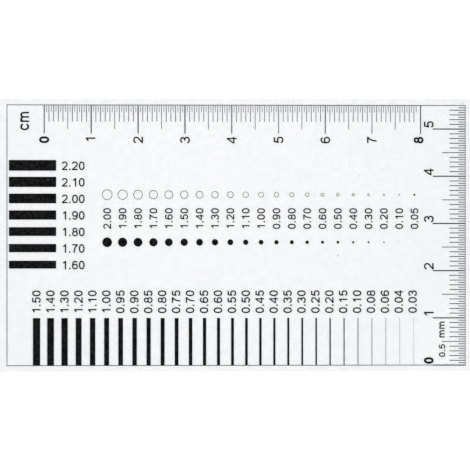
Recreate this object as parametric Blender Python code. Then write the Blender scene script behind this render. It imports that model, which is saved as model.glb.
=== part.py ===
"""Crack width gauge: a clear polyester film printed in black with a border, two scales and rows of
bars, dots and rings of known size, which are laid over a crack or a spot to judge how wide it is."""

import math

import bmesh
import bpy

# Sizes are in metres, so a size in millimetres is written times this
MM = 0.001


def series(first, last, step):
    """The numbers printed beside a row of marks, from first down to last."""
    count = round((first - last) / step) + 1
    return [round(first - step * number, 2) for number in range(count)]


# Film sheet, with the clear margin from the centre of the border line to each edge
FILM_THICKNESS = 0.18 * MM
MARGIN_LEFT = 1.58 * MM
MARGIN_RIGHT = 1.075 * MM
MARGIN_TOP = 1.3 * MM
MARGIN_BOTTOM = 1.2 * MM

# Print, on the upper face of the film
INK_THICKNESS = 0.04 * MM
INK_CLEARANCE = 0.005 * MM

# Border line. Its top line carries the top scale and runs on past both ends of it. Its right line
# carries the side scale from end to end, and is finer
BORDER_LINE = 0.10 * MM
RIGHT_LINE = 0.08 * MM
BORDER_BEFORE_ZERO = 7.92 * MM
BORDER_PAST_SCALE = 10.025 * MM

# Scales: a tick each half millimetre, its length measured from the centre of the border line
SCALE_DIVISION = 0.5 * MM
DIVISIONS_PER_MM = 2
DIVISIONS_PER_5_MM = 10
DIVISIONS_PER_CM = 20

# Top scale, which hangs from the top line
TOP_SCALE_LENGTH = 80.0 * MM
TOP_HALF_TICK = 1.5 * MM
TOP_MM_TICK = 3.5 * MM
TOP_5_MM_TICK = 5.1 * MM
TOP_CM_TICK = 6.0 * MM
TOP_FINE_LINE = 0.085 * MM
TOP_BOLD_LINE = 0.13 * MM
# The last tick of the top scale is printed this far past its true place
LAST_TICK_SHIFT = 0.43 * MM

# Side scale, which stands on the right line
SIDE_SCALE_LENGTH = 55.0 * MM
SIDE_HALF_TICK = 1.425 * MM
SIDE_MM_TICK = 3.355 * MM
SIDE_5_MM_TICK = 4.955 * MM
SIDE_CM_TICK = 6.955 * MM
SIDE_FINE_LINE = 0.11 * MM
SIDE_BOLD_LINE = 0.17 * MM

# Each mark measures its printed number times this
PRINTED_UNIT = 1.0 * MM

# Upright bars, which stand on the bottom line: the number is the width of the bar. Their row ends
# short of the end of the top scale
BAR_NUMBERS = series(1.50, 1.00, 0.10) + series(0.95, 0.10, 0.05) + [0.08, 0.06, 0.04, 0.03]
BAR_HEIGHT = 10.0 * MM
FIRST_BAR_PAST_ZERO = -1.63 * MM
LAST_BAR_BEFORE_END = 1.05 * MM

# Wide bars, stacked beside the left line: the number is the height of the bar
WIDE_BAR_NUMBERS = series(2.20, 1.60, 0.10)
WIDE_BAR_LENGTH = 10.0 * MM
WIDE_BAR_INSET = 0.44 * MM
WIDE_BAR_PITCH = 3.49 * MM
FIRST_WIDE_BAR_BELOW_TOP = 12.76 * MM

# Dots and rings: the number is the width of the dot, and of the space inside the ring. Both rows end
# short of the end of the top scale
SPOT_NUMBERS = series(2.00, 0.10, 0.10) + [0.05]
FIRST_SPOT_PAST_ZERO = 13.41 * MM
LAST_SPOT_BEFORE_END = 0.87 * MM
RINGS_BELOW_TOP = 18.93 * MM
DOTS_BELOW_TOP = 28.98 * MM
RING_LINE = 0.08 * MM
# The smallest ring is drawn with a heavier line
SMALLEST_RING_LINE = 0.17 * MM

# Round marks get sides of about this length, within these limits
CIRCLE_CHORD = 0.2 * MM
FEWEST_SIDES = 12
MOST_SIDES = 32
SMOOTH_ANGLE = math.radians(40.0)

# Derived places. The print is laid out from the zero of both scales, at the foot of the side scale
BORDER_LEFT = -BORDER_BEFORE_ZERO
BORDER_RIGHT = TOP_SCALE_LENGTH + BORDER_PAST_SCALE
BORDER_TOP = SIDE_SCALE_LENGTH
BAR_ROW_LENGTH = TOP_SCALE_LENGTH - LAST_BAR_BEFORE_END - FIRST_BAR_PAST_ZERO
BAR_PITCH = BAR_ROW_LENGTH / (len(BAR_NUMBERS) - 1)
SPOT_ROW_LENGTH = TOP_SCALE_LENGTH - LAST_SPOT_BEFORE_END - FIRST_SPOT_PAST_ZERO
SPOT_PITCH = SPOT_ROW_LENGTH / (len(SPOT_NUMBERS) - 1)
FILM_WIDTH = MARGIN_LEFT + BORDER_RIGHT - BORDER_LEFT + MARGIN_RIGHT
FILM_HEIGHT = MARGIN_BOTTOM + BORDER_TOP + MARGIN_TOP
ZERO_X = MARGIN_LEFT - BORDER_LEFT - FILM_WIDTH / 2
ZERO_Y = MARGIN_BOTTOM - FILM_HEIGHT / 2
PRINT_Z = FILM_THICKNESS + INK_CLEARANCE + INK_THICKNESS / 2


def clear_scene():
    for obj in list(bpy.data.objects):
        bpy.data.objects.remove(obj, do_unlink=True)


def new_collection(name):
    collection = bpy.data.collections.new(name)
    bpy.context.scene.collection.children.link(collection)
    return collection


def make_material(name, colour, roughness, alpha=1.0):
    material = bpy.data.materials.new(name)
    material.use_nodes = True
    shader = material.node_tree.nodes["Principled BSDF"]
    shader.inputs["Base Color"].default_value = (*colour, 1.0)
    shader.inputs["Roughness"].default_value = roughness
    shader.inputs["Metallic"].default_value = 0.0
    shader.inputs["Alpha"].default_value = alpha
    return material


def place(name, data, collection, location, parent=None):
    obj = bpy.data.objects.new(name, data)
    obj.location = location
    obj.parent = parent
    collection.objects.link(obj)
    return obj


def box_mesh(name, size, material):
    """A plain block about its own centre."""
    mesh = bpy.data.meshes.new(name)
    shape = bmesh.new()
    bmesh.ops.create_cube(shape, size=1.0)
    bmesh.ops.scale(shape, verts=shape.verts, vec=size)
    shape.to_mesh(mesh)
    shape.free()
    mesh.materials.append(material)
    return mesh


def disc_mesh(name, diameter, material):
    """A flat disc of ink about its own centre, smooth round its edge."""
    mesh = bpy.data.meshes.new(name)
    shape = bmesh.new()
    bmesh.ops.create_cone(
        shape,
        cap_ends=True,
        segments=sides_of(diameter),
        radius1=diameter / 2,
        radius2=diameter / 2,
        depth=INK_THICKNESS,
    )
    shape.to_mesh(mesh)
    shape.free()
    mesh.shade_smooth()
    mesh.set_sharp_from_angle(angle=SMOOTH_ANGLE)
    mesh.materials.append(material)
    return mesh


def outline_curve(name, outlines, material):
    """A flat shape as thick as the ink: the first outline bounds it and the second is cut out."""
    curve = bpy.data.curves.new(name, "CURVE")
    curve.dimensions = "2D"
    curve.fill_mode = "BOTH"
    curve.extrude = INK_THICKNESS / 2
    for outline in outlines:
        spline = curve.splines.new("POLY")
        spline.points.add(len(outline) - 1)
        for point, (x, y) in zip(spline.points, outline):
            point.co = (x, y, 0.0, 1.0)
        spline.use_cyclic_u = True
    curve.materials.append(material)
    return curve


def sides_of(diameter):
    """Sides of a round mark, more of them where it is larger."""
    return min(MOST_SIDES, max(FEWEST_SIDES, math.ceil(math.pi * diameter / CIRCLE_CHORD)))


def circle(diameter, sides):
    turn = 2 * math.pi / sides
    return [
        (diameter / 2 * math.cos(turn * side), diameter / 2 * math.sin(turn * side))
        for side in range(sides)
    ]


def tick_form(division, lengths, fine_line, bold_line):
    """Length and line width of one tick. lengths holds those of a half millimetre, a millimetre,
    five millimetres and a centimetre."""
    half, whole, five, centimetre = lengths
    if division % DIVISIONS_PER_CM == 0:
        return centimetre, bold_line
    if division % DIVISIONS_PER_5_MM == 0:
        return five, fine_line
    if division % DIVISIONS_PER_MM == 0:
        return whole, fine_line
    return half, fine_line


def top_ticks():
    """(place, width, length) of each tick of the top scale, from its zero to its end."""
    lengths = (TOP_HALF_TICK, TOP_MM_TICK, TOP_5_MM_TICK, TOP_CM_TICK)
    last = round(TOP_SCALE_LENGTH / SCALE_DIVISION)
    ticks = []
    for division in range(last + 1):
        length, width = tick_form(division, lengths, TOP_FINE_LINE, TOP_BOLD_LINE)
        shift = LAST_TICK_SHIFT if division == last else 0.0
        ticks.append((division * SCALE_DIVISION + shift, width, length))
    return ticks


def side_ticks():
    """(place, width, length) of each tick of the side scale that stands clear of the bottom and top
    lines. The first and last of the scale lie along those two lines."""
    lengths = (SIDE_HALF_TICK, SIDE_MM_TICK, SIDE_5_MM_TICK, SIDE_CM_TICK)
    last = math.ceil(SIDE_SCALE_LENGTH / SCALE_DIVISION - 0.5)
    ticks = []
    for division in range(1, last):
        length, width = tick_form(division, lengths, SIDE_FINE_LINE, SIDE_BOLD_LINE)
        ticks.append((division * SCALE_DIVISION, width, length))
    return ticks


def upright_bars():
    """(place, width, height) of each bar that stands on the bottom line."""
    return [
        (FIRST_BAR_PAST_ZERO + BAR_PITCH * place_in_row, number * PRINTED_UNIT, BAR_HEIGHT)
        for place_in_row, number in enumerate(BAR_NUMBERS)
    ]


def comb(teeth, line):
    """(along, depth) points of the inner edge of a border line this wide, which goes out round each
    tooth and back."""
    foot = line / 2
    points = []
    for centre, width, length in teeth:
        start = centre - width / 2
        end = centre + width / 2
        points += [(start, foot), (start, length), (end, length), (end, foot)]
    return points


def border_outlines():
    """The outer and inner edge of the border, with every tick and upright bar that grows from it. The
    foot of the side scale thickens the bottom line as far as a centimetre tick reaches."""
    half = BORDER_LINE / 2
    right_half = RIGHT_LINE / 2
    zero_half = SIDE_BOLD_LINE / 2
    zero_end = BORDER_RIGHT - SIDE_CM_TICK
    outer = [
        (BORDER_LEFT - half, BORDER_TOP + half),
        (BORDER_RIGHT + right_half, BORDER_TOP + half),
        (BORDER_RIGHT + right_half, -zero_half),
        (zero_end, -zero_half),
        (zero_end, -half),
        (BORDER_LEFT - half, -half),
    ]
    along_top = [(along, BORDER_TOP - depth) for along, depth in comb(top_ticks(), BORDER_LINE)]
    side_comb = comb(side_ticks(), RIGHT_LINE)
    down_side = [(BORDER_RIGHT - depth, along) for along, depth in reversed(side_comb)]
    back_along_bottom = list(reversed(comb(upright_bars(), BORDER_LINE)))
    inner = [
        (BORDER_LEFT + half, BORDER_TOP - half),
        *along_top,
        (BORDER_RIGHT - right_half, BORDER_TOP - half),
        *down_side,
        (BORDER_RIGHT - right_half, zero_half),
        (zero_end, zero_half),
        (zero_end, half),
        *back_along_bottom,
        (BORDER_LEFT + half, half),
    ]
    return outer, inner


def label(number):
    """A printed number as a part of a name: 0.05 gives 0_05."""
    return f"{number:.2f}".replace(".", "_")


def make_film(collection, material):
    mesh = box_mesh("film", (FILM_WIDTH, FILM_HEIGHT, FILM_THICKNESS), material)
    return place("film", mesh, collection, (0.0, 0.0, FILM_THICKNESS / 2))


def make_zero(collection):
    """An empty at the zero of both scales, half way up the ink, that carries the whole print."""
    return place("scale_zero", None, collection, (ZERO_X, ZERO_Y, PRINT_Z))


def make_border(collection, ink, zero):
    curve = outline_curve("border_and_scales", border_outlines(), ink)
    place("border_and_scales", curve, collection, (0.0, 0.0, 0.0), zero)


def make_wide_bars(collection, ink, zero):
    x = BORDER_LEFT + WIDE_BAR_INSET + WIDE_BAR_LENGTH / 2
    for place_in_stack, number in enumerate(WIDE_BAR_NUMBERS):
        name = "wide_bar_" + label(number)
        mesh = box_mesh(name, (WIDE_BAR_LENGTH, number * PRINTED_UNIT, INK_THICKNESS), ink)
        y = BORDER_TOP - FIRST_WIDE_BAR_BELOW_TOP - WIDE_BAR_PITCH * place_in_stack
        place(name, mesh, collection, (x, y, 0.0), zero)


def make_dots(collection, ink, zero):
    for place_in_row, number in enumerate(SPOT_NUMBERS):
        name = "dot_" + label(number)
        mesh = disc_mesh(name, number * PRINTED_UNIT, ink)
        x = FIRST_SPOT_PAST_ZERO + SPOT_PITCH * place_in_row
        place(name, mesh, collection, (x, BORDER_TOP - DOTS_BELOW_TOP, 0.0), zero)


def make_rings(collection, ink, zero):
    for place_in_row, number in enumerate(SPOT_NUMBERS):
        name = "ring_" + label(number)
        line = SMALLEST_RING_LINE if number == min(SPOT_NUMBERS) else RING_LINE
        inside = number * PRINTED_UNIT
        outside = inside + 2 * line
        sides = sides_of(outside)
        curve = outline_curve(name, (circle(outside, sides), circle(inside, sides)), ink)
        x = FIRST_SPOT_PAST_ZERO + SPOT_PITCH * place_in_row
        place(name, curve, collection, (x, BORDER_TOP - RINGS_BELOW_TOP, 0.0), zero)


def main():
    clear_scene()
    gauge = new_collection("crack_width_gauge")
    clear_film = make_material("clear_film", (0.90, 0.92, 0.95), 0.12, alpha=0.25)
    black_ink = make_material("black_ink", (0.009, 0.009, 0.010), 0.45)
    make_film(gauge, clear_film)
    zero = make_zero(gauge)
    make_border(gauge, black_ink, zero)
    make_wide_bars(gauge, black_ink, zero)
    make_dots(gauge, black_ink, zero)
    make_rings(gauge, black_ink, zero)


main()
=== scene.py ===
# %% [markdown]
# A crack width gauge is a thin clear plastic film, printed in black with a border, two scales and rows
# of bars, dots and rings of known size. It is laid over a crack, and the mark that looks as wide as the
# crack gives its width.
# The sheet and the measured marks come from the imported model, because their sizes are the point of the
# tool. This lesson adds what a printer and a camera would: the numerals, the look of the ink and of
# the film, and the light.

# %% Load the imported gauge
import math

import bpy
from mathutils import Matrix, Vector


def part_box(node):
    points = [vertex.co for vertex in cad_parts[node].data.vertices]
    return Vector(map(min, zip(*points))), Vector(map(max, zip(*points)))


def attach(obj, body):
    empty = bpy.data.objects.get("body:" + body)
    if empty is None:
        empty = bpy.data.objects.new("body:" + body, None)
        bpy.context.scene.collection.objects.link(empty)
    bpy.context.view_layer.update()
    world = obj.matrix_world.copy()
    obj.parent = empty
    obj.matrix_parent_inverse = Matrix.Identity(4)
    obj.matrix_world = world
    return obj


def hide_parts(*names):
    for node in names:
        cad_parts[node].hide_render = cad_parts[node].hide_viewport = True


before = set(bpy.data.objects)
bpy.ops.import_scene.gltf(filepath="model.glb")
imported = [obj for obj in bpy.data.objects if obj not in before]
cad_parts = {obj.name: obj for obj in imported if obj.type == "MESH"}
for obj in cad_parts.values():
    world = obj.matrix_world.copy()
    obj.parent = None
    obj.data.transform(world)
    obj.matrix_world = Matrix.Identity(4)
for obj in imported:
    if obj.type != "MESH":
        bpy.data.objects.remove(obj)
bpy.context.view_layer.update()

MM = 0.001
print("packed pieces:", len(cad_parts))

# %% [markdown]
# Both scales share one zero, at the foot of the side scale, and everything printed is placed from it.
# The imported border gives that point: its left line lies a little under 8 mm before the zero, and its
# lowest edge is that of the heavy line at the foot of the side scale. The heights of the film and the
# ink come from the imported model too, so that nothing here has to be fitted to it.

# %% Find the zero of the scales and the heights
BORDER_BEFORE_ZERO = 7.92 * MM
BORDER_LINE = 0.10 * MM
SIDE_BOLD_LINE = 0.17 * MM

border_low, border_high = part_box("border_and_scales")
film_low, film_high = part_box("film")
zero_x = border_low.x + BORDER_LINE / 2 + BORDER_BEFORE_ZERO
zero_y = border_low.y + SIDE_BOLD_LINE / 2
ink_bottom = border_low.z
ink_top = border_high.z
print(f"zero at {zero_x / MM:.2f}, {zero_y / MM:.2f} mm")
print(f"ink from {ink_bottom / MM:.3f} to {ink_top / MM:.3f} mm above the underside of the film")

# %% [markdown]
# An operator works on whatever is selected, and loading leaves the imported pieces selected. These two
# small helpers keep every later step honest: one selects only what is named, and one applies a
# modifier at once.

# %% Helpers for selecting and for applying a modifier
def pick(*objects):
    """Selects these objects and nothing else. The last one becomes the active one."""
    bpy.ops.object.select_all(action="DESELECT")
    for obj in objects:
        obj.select_set(True)
        bpy.context.view_layer.objects.active = obj


def finish_with(obj, kind, **settings):
    """Adds a modifier of this kind and applies it."""
    pick(obj)
    modifier = obj.modifiers.new(kind.title(), kind)
    for name, value in settings.items():
        setattr(modifier, name, value)
    bpy.ops.object.modifier_apply(modifier=modifier.name)


# %% [markdown]
# The film is cut from a roll with a blade, so its rim is not a perfect square corner: the blade presses
# the upper edge over by a few hundredths of a millimetre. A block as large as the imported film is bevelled
# all round by that much, which gives the rim a line that catches light when the sheet is seen from
# the side.

# %% Make the film sheet
CUT_EDGE_ROUNDING = 0.035 * MM
CUT_EDGE_STEPS = 3
ROUND_PROFILE = 0.5
SMOOTH_UNDER = math.radians(35)

bpy.ops.object.select_all(action="DESELECT")
bpy.ops.mesh.primitive_cube_add(size=1.0, location=(film_low + film_high) / 2)
film_sheet = bpy.context.object
film_sheet.name = film_sheet.data.name = "film_sheet"
film_sheet.scale = film_high - film_low
bpy.ops.object.transform_apply(location=True, rotation=True, scale=True)
bpy.ops.object.mode_set(mode="EDIT")
bpy.ops.mesh.select_all(action="SELECT")
bpy.ops.mesh.bevel(offset=CUT_EDGE_ROUNDING, segments=CUT_EDGE_STEPS, profile=ROUND_PROFILE)
bpy.ops.object.mode_set(mode="OBJECT")
bpy.ops.object.shade_smooth_by_angle(angle=SMOOTH_UNDER)
print("film sheet:", [round(size / MM, 2) for size in film_sheet.dimensions], "mm")

# %% [markdown]
# The numerals are plain sans-serif ones, drawn as a sign writer would: one flat nib that follows a few
# arcs and straight lines. Each numeral is one unit high, and the middle of its width is at 0. Round
# strokes follow an ellipse that is a little fuller than a true one, as in most plain type.

# %% Draw arcs and loops for the nib to follow
FULLNESS = 2.25
DEGREES_PER_STEP = 15


def arc(centre_x, centre_y, reach_x, reach_y, start, end):
    """Points along such an ellipse, from one angle to another in degrees."""
    steps = max(1, round(abs(end - start) / DEGREES_PER_STEP))
    points = []
    for step in range(steps + 1):
        angle = math.radians(start + (end - start) * step / steps)
        across, up = math.cos(angle), math.sin(angle)
        points.append((
            centre_x + reach_x * math.copysign(abs(across) ** (2 / FULLNESS), across),
            centre_y + reach_y * math.copysign(abs(up) ** (2 / FULLNESS), up),
        ))
    return points


def loop(centre_x, low, high, reach):
    """A closed round stroke between two heights. Its last point is its first one again."""
    return arc(centre_x, (low + high) / 2, reach, (high - low) / 2, 0, 360)


print("points of a full round:", len(loop(0, 0, 1, 0.5)))

# %% [markdown]
# The path of the nib is its middle, so a wider nib needs a path that lies further inside the numeral.
# That is why the paths are worked out from the width of the nib. The nine is the six turned half round.

# %% Write down the strokes of each sign
HALF_WIDTH = 0.334
X_HEIGHT = 0.725


def strokes_of(sign, nib):
    """The paths that draw one sign, one unit high, with a nib this wide."""
    low, high = nib / 2, 1 - nib / 2
    side = HALF_WIDTH - nib / 2
    if sign == "0":
        return [loop(0, low, high, side)]
    if sign == "1":
        return [[(0.075, 0.01), (0.075, 0.985)], arc(-0.285, 1.08, 0.34, 0.34, -80, -22)]
    if sign == "2":
        bowl = arc(-0.015, high - 0.25, side, 0.25, 172, -45)
        return [[*bowl, (-0.285, low)], [(-0.345, low), (0.305, low)]]
    if sign == "3":
        waist = 0.5325
        upper = arc(-0.02, (waist + high) / 2, side - 0.025, (high - waist) / 2, 172, -90)
        lower = arc(-0.02, (waist + low) / 2, side + 0.005, (waist - low) / 2, 90, -172)
        return [[*upper, (-0.08, waist)], [(-0.08, waist), *lower]]
    if sign == "4":
        return [[(0.14, 0), (0.14, 1)], [(-0.365, 0.295), (0.32, 0.295)], [(0.115, 0.955), (-0.315, 0.325)]]
    if sign == "5":
        bowl = arc(0, low + 0.27, side, 0.27, 140, -163)
        return [[(-0.205, high), (0.28, high)], [(-0.16, high), (-0.24, 0.475)], bowl]
    if sign == "6":
        tail = arc(0.28 - side, 0.5, 0.28, high - 0.5, 180, 38)
        return [loop(0, low, low + 0.515, side), [(-side, low + 0.2575), *tail]]
    if sign == "7":
        return [[(-0.315, high), (0.34, high)], arc(0.72, 0, 0.81, 1.05, 121, 180)]
    if sign == "8":
        waist = 0.5225
        return [loop(0, low, waist, side), loop(0, waist, high, side - 0.0375)]
    if sign == "9":
        return [[(-x, 1 - y) for x, y in path] for path in strokes_of("6", nib)]
    if sign == ".":
        return [[(-0.01, 0), (-0.01, 1.25 * nib)]]
    if sign == "c":
        return [arc(0, X_HEIGHT / 2, 0.275, X_HEIGHT / 2 - nib / 2, 28, 332)]
    if sign == "m":
        crown = X_HEIGHT - nib / 2
        arches = []
        for x in (-0.212, 0.212):
            arch = arc(x, crown - 0.25, 0.212, 0.25, 150, 0)
            arches.append([(x - 0.212, crown - 0.2), *arch, (x + 0.212, 0)])
        return [[(-0.424, 0), (-0.424, X_HEIGHT)], *arches]
    raise ValueError(sign)


# %% [markdown]
# A curve with a bevel object is such a nib: the object is the nib's section, and Blender sweeps it along
# the path. Each stroke becomes a mesh, its caps are welded on, and the strokes of a sign are joined by a
# Boolean union, so that every sign is one closed solid with no faces left inside. Strokes often meet
# with their walls almost flush, as in the legs of an m, where the exact solver can leave a tear. The
# manifold solver needs closed strokes, which these are, and then always gives a closed solid. Where
# two walls cross at a flat angle it leaves slivers, so the smallest edges are closed up afterwards.

# %% Turn the strokes into solid signs
WELD = 0.0001
SMALLEST_EDGE = 0.002


def make_nib(width):
    """The section of the nib: as wide as the stroke and one unit deep."""
    section = bpy.data.curves.new("nib", "CURVE")
    outline = section.splines.new("POLY")
    outline.points.add(3)
    corners = ((-1, -1), (1, -1), (1, 1), (-1, 1))
    for point, (x, y) in zip(outline.points, corners):
        point.co = (x * width / 2, y / 2, 0, 1)
    outline.use_cyclic_u = True
    nib = bpy.data.objects.new("nib", section)
    bpy.context.collection.objects.link(nib)
    return nib


def sweep(path, nib):
    """One stroke of the nib along a path, as a closed mesh."""
    line = bpy.data.curves.new("stroke", "CURVE")
    line.dimensions = "3D"
    line.twist_mode = "Z_UP"
    line.bevel_mode = "OBJECT"
    line.bevel_object = nib
    line.use_fill_caps = True
    closed = math.dist(path[0], path[-1]) < WELD
    points = path[:-1] if closed else path
    spline = line.splines.new("POLY")
    spline.points.add(len(points) - 1)
    for point, (x, y) in zip(spline.points, points):
        point.co = (x, y, 0, 1)
    spline.use_cyclic_u = closed
    stroke = bpy.data.objects.new("stroke", line)
    bpy.context.collection.objects.link(stroke)
    pick(stroke)
    bpy.ops.object.convert(target="MESH")
    bpy.ops.object.mode_set(mode="EDIT")
    bpy.ops.mesh.select_all(action="SELECT")
    bpy.ops.mesh.remove_doubles(threshold=WELD)
    bpy.ops.mesh.normals_make_consistent(inside=False)
    bpy.ops.object.mode_set(mode="OBJECT")
    return bpy.context.object


def make_sign(sign, width):
    """The mesh of one sign, one unit high and one unit deep."""
    nib = make_nib(width)
    first, *others = [sweep(path, nib) for path in strokes_of(sign, width)]
    for other in others:
        finish_with(first, "BOOLEAN", operation="UNION", solver="MANIFOLD", object=other)
        bpy.data.objects.remove(other, do_unlink=True)
    pick(first)
    bpy.ops.object.mode_set(mode="EDIT")
    bpy.ops.mesh.select_all(action="SELECT")
    bpy.ops.mesh.remove_doubles(threshold=SMALLEST_EDGE)
    bpy.ops.mesh.dissolve_degenerate(threshold=SMALLEST_EDGE)
    bpy.ops.object.mode_set(mode="OBJECT")
    mesh = first.data.copy()
    mesh.name = "sign"
    bpy.data.objects.remove(first, do_unlink=True)
    bpy.data.objects.remove(nib, do_unlink=True)
    return mesh


# %% [markdown]
# Every sign is modelled once for each weight of nib that needs it, and is then copied to its places. A
# printed line is a row of such copies, which a last step joins to one piece for each row of the gauge.
# Most of the print reads upwards, so its lines are turned by a quarter. The strokes of a four and an
# eight crowd each other, so these two are drawn with a finer nib. The two gets one a trace finer, and
# the nought and the point one a trace wider, as they are printed.

# %% Set lines of signs
SIGN_ADVANCE = {".": 0.39, "c": 0.72, "m": 1.20}
NUMERAL_ADVANCE = 0.785
NIB_SHARE = {"0": 1.03, "2": 0.98, "4": 0.91, "8": 0.94, ".": 1.03}
UPWARDS = math.radians(90)

sign_meshes = {}


def sign_mesh(sign, nib):
    """One sign drawn with one nib. It is modelled when it is first asked for."""
    if (sign, nib) not in sign_meshes:
        sign_meshes[sign, nib] = make_sign(sign, nib * NIB_SHARE.get(sign, 1))
    return sign_meshes[sign, nib]


def set_line(text, x, y, height, nib, turn=0.0, stretch=1.0):
    """Copies of the signs of a text, this high. The middle of the line is at x and y, from the zero of
    the scales, and turn is the direction in which it reads."""
    advances = [SIGN_ADVANCE.get(sign, NUMERAL_ADVANCE) for sign in text]
    place = Matrix.Translation((zero_x + x, zero_y + y, (ink_bottom + ink_top) / 2))
    place = place @ Matrix.Rotation(turn, 4, "Z")
    size = Matrix.Diagonal((height * stretch, height, ink_top - ink_bottom, 1))
    start = -sum(advances) / 2
    copies = []
    for sign, advance in zip(text, advances):
        copy = bpy.data.objects.new(sign, sign_mesh(sign, nib).copy())
        bpy.context.collection.objects.link(copy)
        shift = Matrix.Translation((start + advance / 2, -0.5, 0))
        copy.data.transform(place @ size @ shift)
        copies.append(copy)
        start += advance
    return copies


def join_signs(name, signs):
    """One piece from all the signs of a row."""
    pick(*signs)
    bpy.ops.object.join()
    piece = bpy.context.object
    piece.name = piece.data.name = name
    print(f"{name}: {len(signs)} signs, {len(piece.data.polygons)} faces")
    return piece


# %% [markdown]
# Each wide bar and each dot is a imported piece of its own. Its name holds the number that is printed
# beside it, and its box tells where along the row that number stands, so only the place of the row
# is written down here. The rings stand above the dots, and the numbers between them serve both.

# %% Number the wide bars, the dots and the rings
PLAIN_NIB = 0.147
NUMBER_HEIGHT = 1.83 * MM
SPOT_NUMBER_HEIGHT = 1.67 * MM
WIDE_BAR_NUMBERS_X = 6.19 * MM
WIDE_BAR_NUMBERS_DROP = 0.085 * MM
SPOT_NUMBERS_Y = 31.03 * MM


def middle_of(node):
    """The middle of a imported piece, from the zero of the scales."""
    low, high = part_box(node)
    return (low.x + high.x) / 2 - zero_x, (low.y + high.y) / 2 - zero_y


def printed_numbers(kind):
    """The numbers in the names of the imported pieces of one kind, as printed: 2_20 is 2.20."""
    names = sorted(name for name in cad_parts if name.startswith(kind))
    return {name: name[len(kind):].replace("_", ".") for name in names}


signs = []
for node, number in printed_numbers("wide_bar_").items():
    y = middle_of(node)[1] - WIDE_BAR_NUMBERS_DROP
    signs += set_line(number, WIDE_BAR_NUMBERS_X, y, NUMBER_HEIGHT, PLAIN_NIB)
wide_bar_numbers = join_signs("wide_bar_numbers", signs)

signs = []
for node, number in printed_numbers("dot_").items():
    x = middle_of(node)[0]
    signs += set_line(number, x, SPOT_NUMBERS_Y, SPOT_NUMBER_HEIGHT, PLAIN_NIB, UPWARDS)
spot_numbers = join_signs("dot_and_ring_numbers", signs)

# %% [markdown]
# The upright bars are one solid with the border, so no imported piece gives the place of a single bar.
# Their numbers follow a rule: from 1.50 down by tenths, from 0.95 down by twentieths, and then four
# finer ones. They are set a hair closer together than the bars, as on the gauge, so the places of the
# first and the last are written down, and a loop spaces the others evenly between them.

# %% Number the upright bars
BAR_NUMBERS = [1.5 - 0.1 * step for step in range(6)]
BAR_NUMBERS += [0.95 - 0.05 * step for step in range(18)]
BAR_NUMBERS += [0.08, 0.06, 0.04, 0.03]
FIRST_BAR_NUMBER_X = -1.66 * MM
LAST_BAR_NUMBER_X = 78.72 * MM
BAR_NUMBERS_Y = 13.45 * MM

signs = []
pitch = (LAST_BAR_NUMBER_X - FIRST_BAR_NUMBER_X) / (len(BAR_NUMBERS) - 1)
for order, number in enumerate(BAR_NUMBERS):
    x = FIRST_BAR_NUMBER_X + pitch * order
    signs += set_line(f"{number:.2f}", x, BAR_NUMBERS_Y, NUMBER_HEIGHT, PLAIN_NIB, UPWARDS)
bar_numbers = join_signs("upright_bar_numbers", signs)

# %% [markdown]
# The scale numbers stand beside the centimetre ticks and read upwards too. Both zeros and the eight of
# the top scale are printed bolder than the rest, so these three get a nib of their own, and the one of
# the top scale is printed a little off its tick. The unit signs are set narrower or wider than the
# numerals, by a stretch along the line.

# %% Number both scales and mark their units
SCALE_NUMBER_HEIGHT = 2.08 * MM
TOP_ZERO_HEIGHT = 2.14 * MM
TOP_NIB = 0.14
TOP_ZERO_NIB = 0.195
TOP_EIGHT_NIB = 0.202
SIDE_ZERO_NIB = 0.212
CENTIMETRE = 10.0 * MM
TOP_NUMBERS_Y = 47.65 * MM
TOP_ONE_SHIFT = (-0.16 * MM, 0.18 * MM)
SIDE_NUMBERS_X = 82.2 * MM
SIDE_NUMBER_ABOVE_TICK = 0.97 * MM
UNIT_SIGNS = {
    # text: x and y of its middle from the zero of the scales, height, nib and stretch
    "cm": (-4.51 * MM, 51.68 * MM, 2.58 * MM, 0.153, 0.828),
    "0.5": (85.05 * MM, 3.07 * MM, 1.35 * MM, 0.155, 1.08),
    "mm": (84.82 * MM, 7.52 * MM, 1.55 * MM, 0.16, 0.98),
}


def set_unit(text):
    """Copies of the signs of one unit, at their place."""
    x, y, height, nib, stretch = UNIT_SIGNS[text]
    return set_line(text, x, y, height, nib, UPWARDS, stretch)


signs = []
for number in range(9):
    nib = {0: TOP_ZERO_NIB, 8: TOP_EIGHT_NIB}.get(number, TOP_NIB)
    height = TOP_ZERO_HEIGHT if number == 0 else SCALE_NUMBER_HEIGHT
    shift_x, shift_y = TOP_ONE_SHIFT if number == 1 else (0, 0)
    x = number * CENTIMETRE + shift_x
    signs += set_line(str(number), x, TOP_NUMBERS_Y + shift_y, height, nib, UPWARDS)
top_scale_numbers = join_signs("top_scale_numbers", signs)

signs = []
for number in range(6):
    nib = SIDE_ZERO_NIB if number == 0 else PLAIN_NIB
    y = number * CENTIMETRE + SIDE_NUMBER_ABOVE_TICK
    signs += set_line(str(number), SIDE_NUMBERS_X, y, SCALE_NUMBER_HEIGHT, nib, UPWARDS)
side_scale_numbers = join_signs("side_scale_numbers", signs)

centimetre_sign = join_signs("centimetre_sign", set_unit("cm"))
half_millimetre_sign = join_signs("half_millimetre_sign", set_unit("0.5") + set_unit("mm"))

printed_signs = [
    wide_bar_numbers,
    spot_numbers,
    bar_numbers,
    top_scale_numbers,
    side_scale_numbers,
    centimetre_sign,
    half_millimetre_sign,
]

# %% [markdown]
# Printing ink is squeezed a little past the edge of the plate that lays it down, so that every line
# comes out a hair wider and softer than it was drawn. A fine line holds little ink and spreads little,
# and a broad bar spreads more. Each mark is copied, and every wall of the copy is pushed out by a share
# of the width of the ink behind it, which a few rays shot into the ink measure. The copy is then
# pressed flatter than the ink, so the mark stands in a foot of spread ink. Some marks took more ink
# than others of their size and some took less, and one table tells which and by how much.

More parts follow.
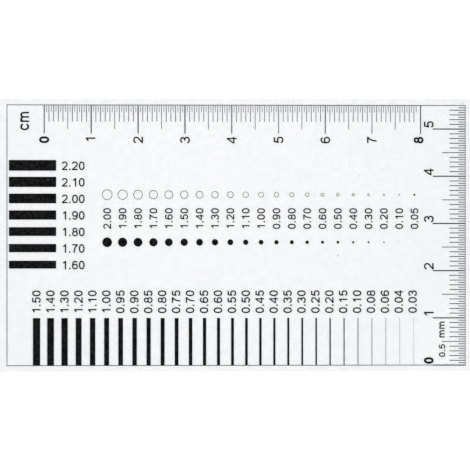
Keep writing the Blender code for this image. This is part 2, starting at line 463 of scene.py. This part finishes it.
# %% Measure the ink behind a wall
SPREAD_SHARE = 0.14
WIDEST_SPREAD = 0.025 * MM
SHARE_OF_GAP = 0.4
SPREAD_STEP = 0.001 * MM
UNLIKE_SPREADS = (
    # left, right, foot and top of a place that holds the middle of a wall, in millimetres from the
    # zero of the scales, and how much further the ink spreads there, in millimetres. The first row
    # that holds the wall counts
    (50.5, 68.5, 4.5, 5.5, 0.012),     # upright bars from 0.35 to 0.10 mm
    (69.0, 71.0, 4.5, 5.5, 0.005),     # upright bar of 0.08 mm
    (74.5, 77.0, 4.5, 5.5, -0.003),    # upright bar of 0.04 mm
    (77.5, 80.0, 4.5, 5.5, -0.006),    # upright bar of 0.03 mm
    (41.5, 50.5, 25.0, 27.0, -0.016),  # dots from 1.1 to 0.9 mm
    (62.0, 66.7, 25.5, 26.5, 0.012),   # dots of 0.5 and 0.4 mm
    (68.8, 69.8, 25.5, 26.5, 0.032),   # dot of 0.3 mm
    (72.1, 73.1, 25.5, 26.5, 0.026),   # dot of 0.2 mm
    (12.0, 41.5, 34.5, 37.6, 0.003),   # rings from 2.0 to 1.2 mm
    (41.5, 50.5, 34.5, 37.6, -0.004),  # rings from 1.1 to 0.9 mm
    (9.0, 31.0, 51.8, 52.2, 0.028),    # ticks of the top scale at 1, 2 and 3 cm
    (49.0, 51.0, 51.8, 52.2, -0.018),  # its tick at 5 cm
    (69.0, 71.0, 51.8, 52.2, -0.018),  # its tick at 7 cm
    (-1.0, 81.0, 51.8, 52.2, 0.010),   # its other centimetre ticks
    (-1.0, 30.0, 53.1, 53.4, 0.008),   # its millimetre ticks up to 3 cm
    (30.0, 81.0, 53.1, 53.4, 0.002),   # its millimetre ticks past 3 cm
    (-1.0, 81.0, 54.0, 54.4, -0.010),  # its half-millimetre ticks
    (88.1, 88.6, 0.0, 55.0, 0.005),    # millimetre ticks of the side scale
)
RAY_START = 0.0005 * MM
RAY_PLACES = (0.07, 0.37, 0.5, 0.81)


def reach_from(piece, wall, direction):
    """The shortest way from a few places on a wall to what lies in this direction, if anything does."""
    along = Vector((-wall.normal.y, wall.normal.x, 0))
    corners = sorted((piece.data.vertices[index].co for index in wall.vertices), key=along.dot)
    start, end = corners[0].copy(), corners[-1].copy()
    start.z = end.z = (ink_bottom + ink_top) / 2
    reaches = []
    for place in RAY_PLACES:
        origin = start.lerp(end, place) + direction * RAY_START
        hit, point, _, _ = piece.ray_cast(origin, direction)
        if hit:
            reaches.append((point - origin).length)
    return min(reaches, default=math.inf)


def extra_at(wall):
    """How much further the ink of a wall spreads than its width tells. Less far is below 0."""
    x, y = (wall.center.x - zero_x) / MM, (wall.center.y - zero_y) / MM
    for left, right, foot, top, extra in UNLIKE_SPREADS:
        if left < x < right and foot < y < top:
            return extra * MM
    return 0.0


def spread_of(piece, wall):
    """How far the ink spreads past a wall, in steps. It never closes the gap in front of the wall."""
    ink = reach_from(piece, wall, -wall.normal)
    gap = reach_from(piece, wall, wall.normal)
    spread = max(min(ink * SPREAD_SHARE, WIDEST_SPREAD) + extra_at(wall), 0)
    return round(min(spread, gap * SHARE_OF_GAP) / SPREAD_STEP)


print("places where the ink spreads unlike the rest:", len(UNLIKE_SPREADS))

# %% [markdown]
# A packed mark is made of triangles. The copy has them merged to whole walls first, so that each wall
# moves as one face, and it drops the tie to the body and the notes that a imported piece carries. Walls
# with the same spread are then pushed out together, and an even offset keeps the corners sharp where
# two of them meet.

# %% Spread the ink at the edge of the marks
SPREAD_TOP = 0.5
SPREAD_CLEARANCE = 0.001 * MM
INK_WELD = 0.0005 * MM
IN_ONE_PLANE = math.radians(1)
FLAT_FROM = 0.5


def push_walls(piece, walls, spread):
    """Moves these walls out along their own normals. Where two of them meet, the corner stays sharp."""
    bpy.ops.object.mode_set(mode="EDIT")
    bpy.ops.mesh.select_all(action="DESELECT")
    bpy.ops.object.mode_set(mode="OBJECT")
    for wall in walls:
        piece.data.polygons[wall].select = True
    bpy.ops.object.mode_set(mode="EDIT")
    bpy.ops.transform.shrink_fatten(value=spread, use_even_offset=True)
    bpy.ops.object.mode_set(mode="OBJECT")


def spread_ink(name, nodes):
    """A thin foot of ink round some packed marks, as one piece."""
    copies = []
    for node in nodes:
        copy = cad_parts[node].copy()
        copy.data = copy.data.copy()
        copy.parent = None
        for key in list(copy.keys()):
            del copy[key]
        bpy.context.collection.objects.link(copy)
        copies.append(copy)
    pick(*copies)
    bpy.ops.object.join()
    piece = bpy.context.object
    piece.name = piece.data.name = name
    bpy.ops.object.mode_set(mode="EDIT")
    bpy.ops.mesh.select_mode(type="FACE")
    bpy.ops.mesh.select_all(action="SELECT")
    bpy.ops.mesh.remove_doubles(threshold=INK_WELD)
    bpy.ops.mesh.dissolve_limited(angle_limit=IN_ONE_PLANE)
    bpy.ops.object.mode_set(mode="OBJECT")

    like_walls = {}
    for wall in piece.data.polygons:
        if abs(wall.normal.z) < FLAT_FROM:
            like_walls.setdefault(spread_of(piece, wall), []).append(wall.index)
    for steps, walls in like_walls.items():
        push_walls(piece, walls, steps * SPREAD_STEP)

    foot_low = ink_bottom - SPREAD_CLEARANCE
    foot_high = ink_bottom + (ink_top - ink_bottom) * SPREAD_TOP
    middle = (ink_bottom + ink_top) / 2
    for vertex in piece.data.vertices:
        vertex.co.z = foot_high if vertex.co.z > middle else foot_low
    print(f"{name}: {len(piece.data.vertices)} points, spreads in steps {sorted(like_walls)}")
    return piece


ink_spreads = [
    spread_ink("border_ink_spread", ["border_and_scales"]),
    spread_ink("wide_bar_ink_spread", list(printed_numbers("wide_bar_"))),
    spread_ink("dot_ink_spread", list(printed_numbers("dot_"))),
    spread_ink("ring_ink_spread", list(printed_numbers("ring_"))),
]

# %% [markdown]
# A material is a small network of nodes. Sums read best as sums, so one class wraps the output of a
# node and turns sums, differences, products and comparisons into Math nodes, and one function adds
# every other kind of node.

# %% Write shader sums as Python sums
class Wire:
    """The output of a node. A sum with a number or with another wire adds a Math node."""

    def __init__(self, tree, socket):
        self.tree = tree
        self.socket = socket

    def sum_with(self, operation, first, second):
        return add_node(self.tree, "ShaderNodeMath", {"operation": operation}, {0: first, 1: second})

    def __add__(self, other):
        return self.sum_with("ADD", self, other)

    def __sub__(self, other):
        return self.sum_with("SUBTRACT", self, other)

    def __rsub__(self, other):
        return self.sum_with("SUBTRACT", other, self)

    def __mul__(self, other):
        return self.sum_with("MULTIPLY", self, other)

    def __lt__(self, other):
        return self.sum_with("LESS_THAN", self, other)

    def __gt__(self, other):
        return self.sum_with("GREATER_THAN", self, other)

    __radd__ = __add__
    __rmul__ = __mul__


def add_node(tree, kind, settings=None, inputs=None, output=0):
    """Adds a node, sets it up, fills its sockets with values or wires and gives one output."""
    node = tree.nodes.new(kind)
    for name, value in (settings or {}).items():
        setattr(node, name, value)
    for name, value in (inputs or {}).items():
        if isinstance(value, Wire):
            tree.links.new(value.socket, node.inputs[name])
        else:
            node.inputs[name].default_value = value
    return Wire(tree, node.outputs[output])


def new_material(name):
    """An empty material, the tree of its nodes and the place of each point on the piece."""
    material = bpy.data.materials.new(name)
    material.use_nodes = True
    tree = material.node_tree
    tree.nodes.clear()
    place = add_node(tree, "ShaderNodeTexCoord", output="Object")
    return material, tree, place


def put_out(tree, shader):
    """Ends a material with this shader."""
    output = tree.nodes.new("ShaderNodeOutputMaterial")
    tree.links.new(shader.socket, output.inputs["Surface"])


# %% [markdown]
# Ink on film is not one even black. It dries with a faint mottle, is a little shinier where it lies
# thick, and has a pinhole where a speck of dust kept it off. That one lies in the second wide bar. The
# mottle comes from a noise texture whose patches are a few tenths of a millimetre across.

# %% Ink material
INK_DEEP = (0.0004, 0.0004, 0.0005, 1)
INK_THIN = (0.0125, 0.0125, 0.0128, 1)
INK_SHEEN = 0.03
INK_ROUGHNESS = 0.36
SPREAD_ROUGHNESS = 0.5
ROUGHNESS_OF_MOTTLE = 0.2
MOTTLE_SIZE = 0.45 * MM
MOTTLE_WEIGHT = 3.6
PATCH_SIZE = 4 * MM
PATCH_WEIGHT = 0.8
FULLY_THICK_UNDER = 1.75
SPREAD_MOTTLE_SIZE = 0.2 * MM
RELIEF_STRENGTH = 0.15
RELIEF_DEPTH = 0.01 * MM
PINHOLE_COLOUR = (0.11, 0.11, 0.12, 1)
PINHOLE_X = 0.78 * MM
PINHOLE_Y = 39.2 * MM
PINHOLE_RADIUS = 0.13 * MM


def colour_mix(tree, factor, first, second):
    """Between two colours, or between a colour and what another mix gave."""
    return add_node(
        tree,
        "ShaderNodeMix",
        {"data_type": "RGBA"},
        {"Factor": factor, "A": first, "B": second},
        output="Result",
    )


def inside_spot(tree, place, x, y, height, radius):
    """1 within this distance of a spot, which is placed from the zero of the scales, and 0 outside."""
    apart = add_node(
        tree,
        "ShaderNodeVectorMath",
        {"operation": "DISTANCE"},
        {0: place, 1: (zero_x + x, zero_y + y, height)},
        output="Value",
    )
    return apart < radius


def noise(tree, place, size, detail=2.0):
    """Soft patches about this far apart, from 0 to 1. More detail gives them finer ones inside."""
    return add_node(
        tree,
        "ShaderNodeTexNoise",
        inputs={"Vector": place, "Scale": 1 / size, "Detail": detail},
    )


def make_ink():
    """The ink of the marks and the signs."""
    material, tree, place = new_material("black_ink_print")
    mottle = noise(tree, place, MOTTLE_SIZE, detail=3)
    patches = noise(tree, place, PATCH_SIZE)
    thinness = mottle * MOTTLE_WEIGHT + patches * PATCH_WEIGHT - FULLY_THICK_UNDER
    colour = colour_mix(tree, thinness, INK_DEEP, INK_THIN)
    pinhole = inside_spot(tree, place, PINHOLE_X, PINHOLE_Y, ink_top, PINHOLE_RADIUS)
    colour = colour_mix(tree, pinhole, colour, PINHOLE_COLOUR)
    relief = add_node(
        tree,
        "ShaderNodeBump",
        inputs={"Strength": RELIEF_STRENGTH, "Distance": RELIEF_DEPTH, "Height": mottle},
    )
    shader = add_node(
        tree,
        "ShaderNodeBsdfPrincipled",
        inputs={
            "Base Color": colour,
            "Roughness": mottle * ROUGHNESS_OF_MOTTLE + INK_ROUGHNESS,
            "Specular IOR Level": INK_SHEEN,
            "Normal": relief,
        },
    )
    put_out(tree, shader)
    return material


def make_spread_ink():
    """The ink in the foot of the marks, which is duller and more evenly thin."""
    material, tree, place = new_material("spread_ink")
    mottle = noise(tree, place, SPREAD_MOTTLE_SIZE)
    shader = add_node(
        tree,
        "ShaderNodeBsdfPrincipled",
        inputs={
            "Base Color": colour_mix(tree, mottle, INK_DEEP, INK_THIN),
            "Roughness": mottle * ROUGHNESS_OF_MOTTLE + SPREAD_ROUGHNESS,
            "Specular IOR Level": INK_SHEEN,
        },
    )
    put_out(tree, shader)
    return material


black_ink = make_ink()
spread_ink_finish = make_spread_ink()
print("ink materials:", black_ink.name, spread_ink_finish.name)

# %% [markdown]
# The film is clear polyester. On white paper it shows only as a faint cool tint, with a fine grain, a few
# specks of dust and hairline scratches from use. Its colour is also made a little deeper towards its ends
# and its foot,
# palest near the upper middle: this is painted shade, for how the lamps fall on the sheet. Its cut rim
# gathers light inside the sheet, so it looks denser than the face; a painted shade on the faces that face
# sideways, found by a mask, and a denser alpha there make it so. Four specks are large enough to have a
# place of their own.

# %% Film material
FILM_TINT = (0.897, 0.894, 0.918, 1)
FILM_DEEP_TONE_AND_PAINTED_SHADE = (0.792, 0.803, 0.8305, 1)
# Painted shade: the film's colour is palest at this x and grows darker towards its ends and its foot.
PAINTED_LIGHT_X = -4 * MM
PAINTED_SHADE_REACH = 60 * MM
PAINTED_SHADE_OF_ENDS = 0.52
PAINTED_SHADE_OF_FOOT = 0.16
SHADE_EVERYWHERE = 0.34
MIDDLE_OF_NOISE = 0.5
CLOUD_SIZE = 14 * MM
CLOUD_WEIGHT = 0.4
GRAIN_SIZE = 1.2 * MM
GRAIN_WEIGHT = 4.2
# Painted shade of the cut rim, which stands for the light gathered inside the edge of the clear film.
FILM_RIM_PAINTED_SHADE = (0.62, 0.68, 0.74, 1)
FACE_ALPHA = 0.26
RIM_ALPHA = 0.5
SIDEWAYS_BELOW = 0.25
POLYESTER_IOR = 1.57
FILM_ROUGHNESS = 0.08
ROUGHNESS_OF_CLOUDS = 0.06

SCRATCHES = ((17, 0.80), (-52, 0.81))  # direction in degrees, and the noise above which one shows
SCRATCH_SCALE = (60, 9000, 1)
SCRATCH_ROUGHNESS = 0.25
SCRATCH_ALPHA = 0.05

DUST_COLOUR = (0.55, 0.55, 0.56, 1)
DUST_ALPHA = 0.3
DUST_SPACING = 5 * MM
FINE_DUST_RADIUS = 0.016  # of the spacing
FINE_DUST_STRENGTH = 0.5
DUST_SPECKS = (
    # x and y from the zero of the scales, radius in millimetres, and strength
    (62.70, 23.22, 0.20, 1.0),
    (57.78, 35.75, 0.18, 0.6),
    (89.37, 55.50, 0.35, 0.5),
    (67.29, 40.19, 0.22, 0.35),
)


def split(tree, vector):
    """The three parts of a vector."""
    node = tree.nodes.new("ShaderNodeSeparateXYZ")
    tree.links.new(vector.socket, node.inputs[0])
    return [Wire(tree, socket) for socket in node.outputs]


def hairlines(tree, place, degrees, limit):
    """Long thin scratches in one direction, 1 on a scratch and 0 beside it."""
    turn = (0, 0, math.radians(degrees))
    stretched = add_node(
        tree,
        "ShaderNodeMapping",
        inputs={"Vector": place, "Rotation": turn, "Scale": SCRATCH_SCALE},
    )
    return noise(tree, stretched, size=1.0, detail=1.0) > limit


def make_film():
    """Clear film, with its tint, its dust and its scratches, and painted shade towards its ends, its foot
    and its rim.
    """
    material, tree, place = new_material("clear_film_sheet")
    x, y, _ = split(tree, place)
    clouds = noise(tree, place, CLOUD_SIZE, detail=3)
    grain = noise(tree, place, GRAIN_SIZE, detail=3)
    aside = (x - PAINTED_LIGHT_X) * (1 / PAINTED_SHADE_REACH)
    below_top = 0.5 - y * (1 / film_sheet.dimensions.y)
    uneven = (clouds - MIDDLE_OF_NOISE) * CLOUD_WEIGHT + (grain - MIDDLE_OF_NOISE) * GRAIN_WEIGHT
    # Painted shade: darker towards the ends and the foot of the film, away from its palest place, for how
    # the lamps light it; the clouds and grain are the film's own uneven tone.
    painted_shade_and_tone = aside * aside * PAINTED_SHADE_OF_ENDS + below_top * PAINTED_SHADE_OF_FOOT + uneven + SHADE_EVERYWHERE
    colour = colour_mix(tree, painted_shade_and_tone, FILM_TINT, FILM_DEEP_TONE_AND_PAINTED_SHADE)

    cells = {"Vector": place, "Scale": 1 / DUST_SPACING}
    from_middle = add_node(tree, "ShaderNodeTexVoronoi", inputs=cells, output="Distance")
    dust = (from_middle < FINE_DUST_RADIUS) * FINE_DUST_STRENGTH
    for speck_x, speck_y, radius, strength in DUST_SPECKS:
        speck = inside_spot(tree, place, speck_x * MM, speck_y * MM, film_high.z, radius * MM)
        dust = dust + speck * strength
    colour = colour_mix(tree, dust, colour, DUST_COLOUR)

    normal = add_node(tree, "ShaderNodeNewGeometry", output="Normal")
    facing_up = split(tree, normal)[2]
    on_rim = facing_up * facing_up < SIDEWAYS_BELOW
    # Painted shade on the rim: faces that face sideways get a darker colour for the light gathered in the
    # cut edge.
    colour = colour_mix(tree, on_rim, colour, FILM_RIM_PAINTED_SHADE)

    some, others = (hairlines(tree, place, degrees, limit) for degrees, limit in SCRATCHES)
    scratches = some + others
    denser = on_rim * (RIM_ALPHA - FACE_ALPHA) + dust * DUST_ALPHA + scratches * SCRATCH_ALPHA
    shader = add_node(
        tree,
        "ShaderNodeBsdfPrincipled",
        inputs={
            "Base Color": colour,
            "Roughness": clouds * ROUGHNESS_OF_CLOUDS + scratches * SCRATCH_ROUGHNESS + FILM_ROUGHNESS,
            "Alpha": denser + FACE_ALPHA,
            "IOR": POLYESTER_IOR,
        },
    )
    put_out(tree, shader)
    return material


clear_film = make_film()
print("film material:", clear_film.name)

# %% [markdown]
# The imported marks keep their meshes and only take on the ink. Each new piece is tied to the one body of
# the gauge, so that it moves with it. The film sheet also stands for the imported film, which is hidden.

# %% Give each piece its finish and its body
for node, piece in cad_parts.items():
    piece.data.materials.clear()
    piece.data.materials.append(clear_film if node == "film" else black_ink)

for piece in printed_signs + ink_spreads:
    piece.data.materials.clear()
    piece.data.materials.append(spread_ink_finish if piece in ink_spreads else black_ink)
    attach(piece, "root")

film_sheet.data.materials.append(clear_film)
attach(film_sheet, "root")
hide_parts("film")
print("pieces added:", len(printed_signs) + len(ink_spreads) + 1)

# %% [markdown]
# The gauge lies on a plain white table. To the camera the table shows mostly its own even white, mixed
# with how the lamps light it, so that the table is white to its edges and the gauge still lays its soft
# shadow on it. To the light that bounces around, it is plain matt paper.

# %% Table and backdrop
TABLE_SIZE = 3.0
TABLE_DROP = 0.03 * MM
OWN_WHITE = 0.6
PAPER = (0.9, 0.9, 0.9, 1)
PAPER_GRAIN_SIZE = 0.8 * MM
WHITE = (1, 1, 1, 1)


def seen_directly(tree):
    """1 for the camera, and for what mirrors and clear things show, and 0 for scattered light."""
    path = tree.nodes.new("ShaderNodeLightPath")
    camera, glossy, through = (
        Wire(tree, path.outputs[name]) for name in ("Is Camera Ray", "Is Glossy Ray", "Is Transmission Ray")
    )
    return add_node(tree, "ShaderNodeMath", {"operation": "MAXIMUM"}, {
        0: camera,
        1: add_node(tree, "ShaderNodeMath", {"operation": "MAXIMUM"}, {0: glossy, 1: through}),
    })


def make_table():
    """Matt paper that shows the camera an even white under the shadow of the gauge."""
    material, tree, place = new_material("white_table")
    grain = noise(tree, place, PAPER_GRAIN_SIZE)
    paper = add_node(tree, "ShaderNodeBsdfDiffuse", inputs={"Color": PAPER, "Roughness": grain})
    lit = add_node(tree, "ShaderNodeBsdfDiffuse", inputs={"Color": WHITE})
    own = add_node(tree, "ShaderNodeEmission", inputs={"Color": WHITE, "Strength": 1.0})
    shown = add_node(tree, "ShaderNodeMixShader", inputs={0: OWN_WHITE, 1: lit, 2: own})
    factor = seen_directly(tree)
    put_out(tree, add_node(tree, "ShaderNodeMixShader", inputs={0: factor, 1: paper, 2: shown}))
    return material


bpy.ops.object.select_all(action="DESELECT")
bpy.ops.mesh.primitive_plane_add(size=TABLE_SIZE, location=(0, 0, film_low.z - TABLE_DROP))
table = bpy.context.object
table.name = table.data.name = "table"
table.data.materials.append(make_table())
print("table drop:", TABLE_DROP / MM, "mm")

# %% [markdown]
# A print like this is photographed under wide soft light from above, a little stronger from the upper
# left. The world gives the even part and two broad lamps the rest. Together they light the table so that
# a white surface comes out white and no brighter.

# %% World and lamps
WORLD_LEVEL = 0.62
LAMPS = (
    # name, place and side in metres, and watts
    ("key_lamp", (-0.55, 0.45, 0.75), 0.5, 5.2),
    ("fill_lamp", (0.6, -0.3, 0.7), 0.6, 2.6),
)


def make_world():
    """An even soft light, which the camera sees as plain white."""
    world = bpy.data.worlds.new("studio")
    world.use_nodes = True
    tree = world.node_tree
    tree.nodes.clear()
    light = add_node(tree, "ShaderNodeBackground", inputs={"Color": WHITE, "Strength": WORLD_LEVEL})
    white = add_node(tree, "ShaderNodeBackground", inputs={"Color": WHITE, "Strength": 1.0})
    shown = add_node(tree, "ShaderNodeMixShader", inputs={0: seen_directly(tree), 1: light, 2: white})
    output = tree.nodes.new("ShaderNodeOutputWorld")
    tree.links.new(shown.socket, output.inputs["Surface"])
    bpy.context.scene.world = world


def add_lamp(name, place, side, watts):
    """A square soft lamp that looks at the gauge."""
    turn = (-Vector(place)).to_track_quat("-Z", "Y").to_euler()
    bpy.ops.object.light_add(type="AREA", location=place, rotation=turn)
    lamp = bpy.context.object
    lamp.name = name
    lamp.data.size = side
    lamp.data.energy = watts


make_world()
for lamp_facts in LAMPS:
    add_lamp(*lamp_facts)
print("lamps:", [name for name, *_ in LAMPS])

# %% [markdown]
# The picture was taken from far away, almost straight down on the gauge. Lengths across it come out 1.1
# per cent shorter than lengths up it, and its left end a little larger than its right one, as happens
# when the camera leans about eight degrees towards the left, so this one leans by that angle.

# %% Camera
PIXELS = 470
PIXELS_PER_MM_UP = 4.731
PIXELS_PER_MM_ACROSS = 4.679
AIM_X = -0.116 * MM
LENS = 1000.0
SENSOR = 36.0
NEAREST_SHOWN = 0.1
FURTHEST_SHOWN = 10.0

lean = math.acos(PIXELS_PER_MM_ACROSS / PIXELS_PER_MM_UP)
seen_width = PIXELS / PIXELS_PER_MM_UP * MM
distance = seen_width * LENS / SENSOR
eye = Vector((AIM_X - math.sin(lean) * distance, 0, math.cos(lean) * distance + ink_top))
bpy.ops.object.camera_add(location=eye, rotation=(0, -lean, 0))
camera = bpy.context.object
camera.data.lens = LENS
camera.data.sensor_width = SENSOR
camera.data.clip_start = NEAREST_SHOWN
camera.data.clip_end = FURTHEST_SHOWN
bpy.context.scene.camera = camera
bpy.context.scene.view_settings.view_transform = "Standard"
print(f"camera {distance:.2f} m away, leaning {math.degrees(lean):.1f} degrees")
